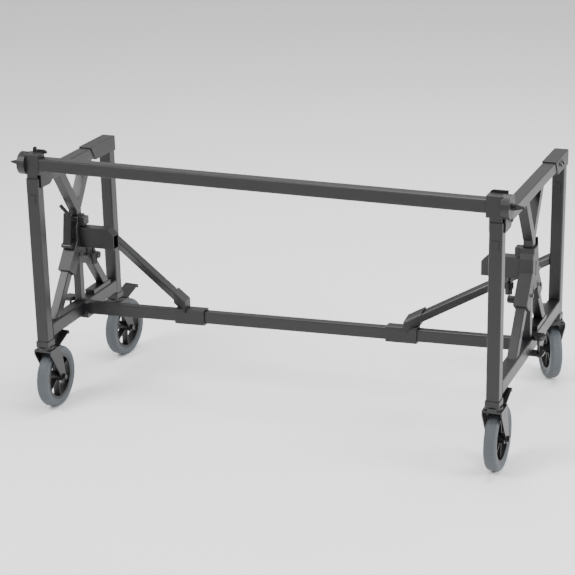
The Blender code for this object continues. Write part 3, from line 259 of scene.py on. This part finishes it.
def add_foot_knob_ribs(side):
    low, high, middle = corners(f"{side}_foot_knob")
    bracket_low = corners(f"{side}_resonator_bracket")[0]
    grown_piece(f"{side}_foot_knob_ribs", KNOB_RIBS,
                {"Count": FOOT_RIBS, "Radius": (high.x - low.x) / 2,
                 "Size": (RIB_DEPTH, RIB_WIDTH, FOOT_RIB_HEIGHT), "Material": MOULDED_NYLON},
                (middle.x, middle.y, bracket_low.z - FOOT_GRIP_DROP - FOOT_RIB_DROP),
                "Z", f"{side}_foot_knob")


def add_strut_knob_ribs(side, out):
    """Ribs near the inner end of the strut knob, whose axis lies along the length."""
    low, high, middle = corners(f"{side}_strut_knob")
    end = low.x if out > 0 else high.x
    grown_piece(f"{side}_strut_knob_ribs", KNOB_RIBS,
                {"Count": STRUT_RIBS, "Radius": (high.z - low.z) / 2,
                 "Size": (RIB_DEPTH, RIB_WIDTH, STRUT_RIB_HEIGHT), "Material": MOULDED_NYLON},
                (end + out * STRUT_RIB_INSET, middle.y, middle.z),
                "X", f"{side}_strut_knob")


def add_screw_heads(side, out):
    """Heads on the outer faces of the rear elbow, the front knuckle and the housing."""
    values = {"Count": 2, "Radius": HEAD_RADIUS, "Height": HEAD_HEIGHT, "Material": BLACK_OXIDE}
    elbow_low, elbow_high, _ = corners(f"{side}_rear_elbow")
    elbow_face = elbow_high.x if out > 0 else elbow_low.x
    rail_middle = corners(f"{side}_side_rail")[2]
    grown_piece(f"{side}_rear_elbow_screws", SCREW_ROW,
                {**values, "Step": (0.0, ELBOW_HEAD_SPACING, 0.0)},
                (elbow_face + out * HEAD_PROUD, elbow_low.y + ELBOW_HEAD_INSET, rail_middle.z),
                "X", "upper_frame")
    # The knuckle's outer face lies a little outside the elbow's
    knuckle_high = corners(f"{side}_front_knuckle")[1]
    grown_piece(f"{side}_front_knuckle_screws", SCREW_ROW, {**values, "Count": 1},
                (elbow_face + out * KNUCKLE_HEAD_PROUD, knuckle_high.y - KNUCKLE_HEAD_INSET,
                 rail_middle.z), "X", "upper_frame")
    housing_low, housing_high, housing_middle = corners(f"{side}_housing")
    housing_face = housing_high.x if out > 0 else housing_low.x
    grown_piece(f"{side}_housing_screws", SCREW_ROW,
                {**values, "Step": (0.0, HOUSING_HEAD_SPACING, 0.0)},
                (housing_face + out * HEAD_PROUD, housing_middle.y - HOUSING_HEAD_SPACING / 2,
                 housing_low.z + HOUSING_HEAD_RISE), "X", "base_frame")


def finish_cad_nodes():
    for subpart in frame["record"]["subparts"]:
        node = frame["nodes"][subpart["node"]]
        node.data.materials.clear()
        node.data.materials.append(FINISHES[subpart["material_slot"]])


# Stage, light and camera

def add_floor():
    bpy.ops.mesh.primitive_plane_add(size=FLOOR_SIZE, location=(0, 0, 0))
    floor = bpy.context.object
    floor.name = "floor"
    material = bpy.data.materials.new("pale_floor")
    material.use_nodes = True
    shader = material.node_tree.nodes["Principled BSDF"]
    shader.inputs["Base Color"].default_value = linear("f4f4f4")
    shader.inputs["Roughness"].default_value = 0.9
    floor.data.materials.append(material)


def add_lights():
    """Three soft round lights and a plain bright sky."""
    for name, (place, width) in LIGHTS.items():
        lamp = bpy.data.lights.new(name, "AREA")
        lamp.shape = "DISK"
        lamp.size = width
        lamp.energy = LIGHT_POWER
        holder = bpy.data.objects.new(name, lamp)
        holder.location = place
        aim = Vector(LIGHT_AIM) - Vector(place)
        holder.rotation_euler = aim.to_track_quat("-Z", "Y").to_euler()
        bpy.context.scene.collection.objects.link(holder)
    sky = bpy.data.worlds.new("studio")
    sky.use_nodes = True
    background = sky.node_tree.nodes["Background"]
    background.inputs["Color"].default_value = linear("ffffff")
    background.inputs["Strength"].default_value = SKY_STRENGTH
    bpy.context.scene.world = sky


def add_camera():
    """Yaw turns the camera about +Z, pitch tips it down, and roll turns it about its own axis."""
    forward = Vector((-math.sin(CAMERA_YAW) * math.cos(CAMERA_PITCH),
                      math.cos(CAMERA_YAW) * math.cos(CAMERA_PITCH), -math.sin(CAMERA_PITCH)))
    level = Vector((math.cos(CAMERA_YAW), math.sin(CAMERA_YAW), 0))
    upright = level.cross(forward)
    right = level * math.cos(CAMERA_ROLL) + upright * math.sin(CAMERA_ROLL)
    up = upright * math.cos(CAMERA_ROLL) - level * math.sin(CAMERA_ROLL)
    lens = bpy.data.cameras.new("camera")
    lens.sensor_width = SENSOR_WIDTH
    lens.lens = FOCAL_PIXELS / IMAGE_WIDTH * SENSOR_WIDTH
    lens.clip_end = CLIP_END
    camera = bpy.data.objects.new("camera", lens)
    turn = Matrix((right, up, -forward)).transposed().to_4x4()
    camera.matrix_world = Matrix.Translation(CAMERA_PLACE) @ turn
    bpy.context.scene.collection.objects.link(camera)
    bpy.context.scene.camera = camera


finish_cad_nodes()
for side, out in (("left", -1), ("right", 1)):
    add_foot_knob_ribs(side)
    add_strut_knob_ribs(side, out)
for side, out in (("left", -1), ("right", 1)):
    add_screw_heads(side, out)
add_floor()
add_lights()
add_camera()
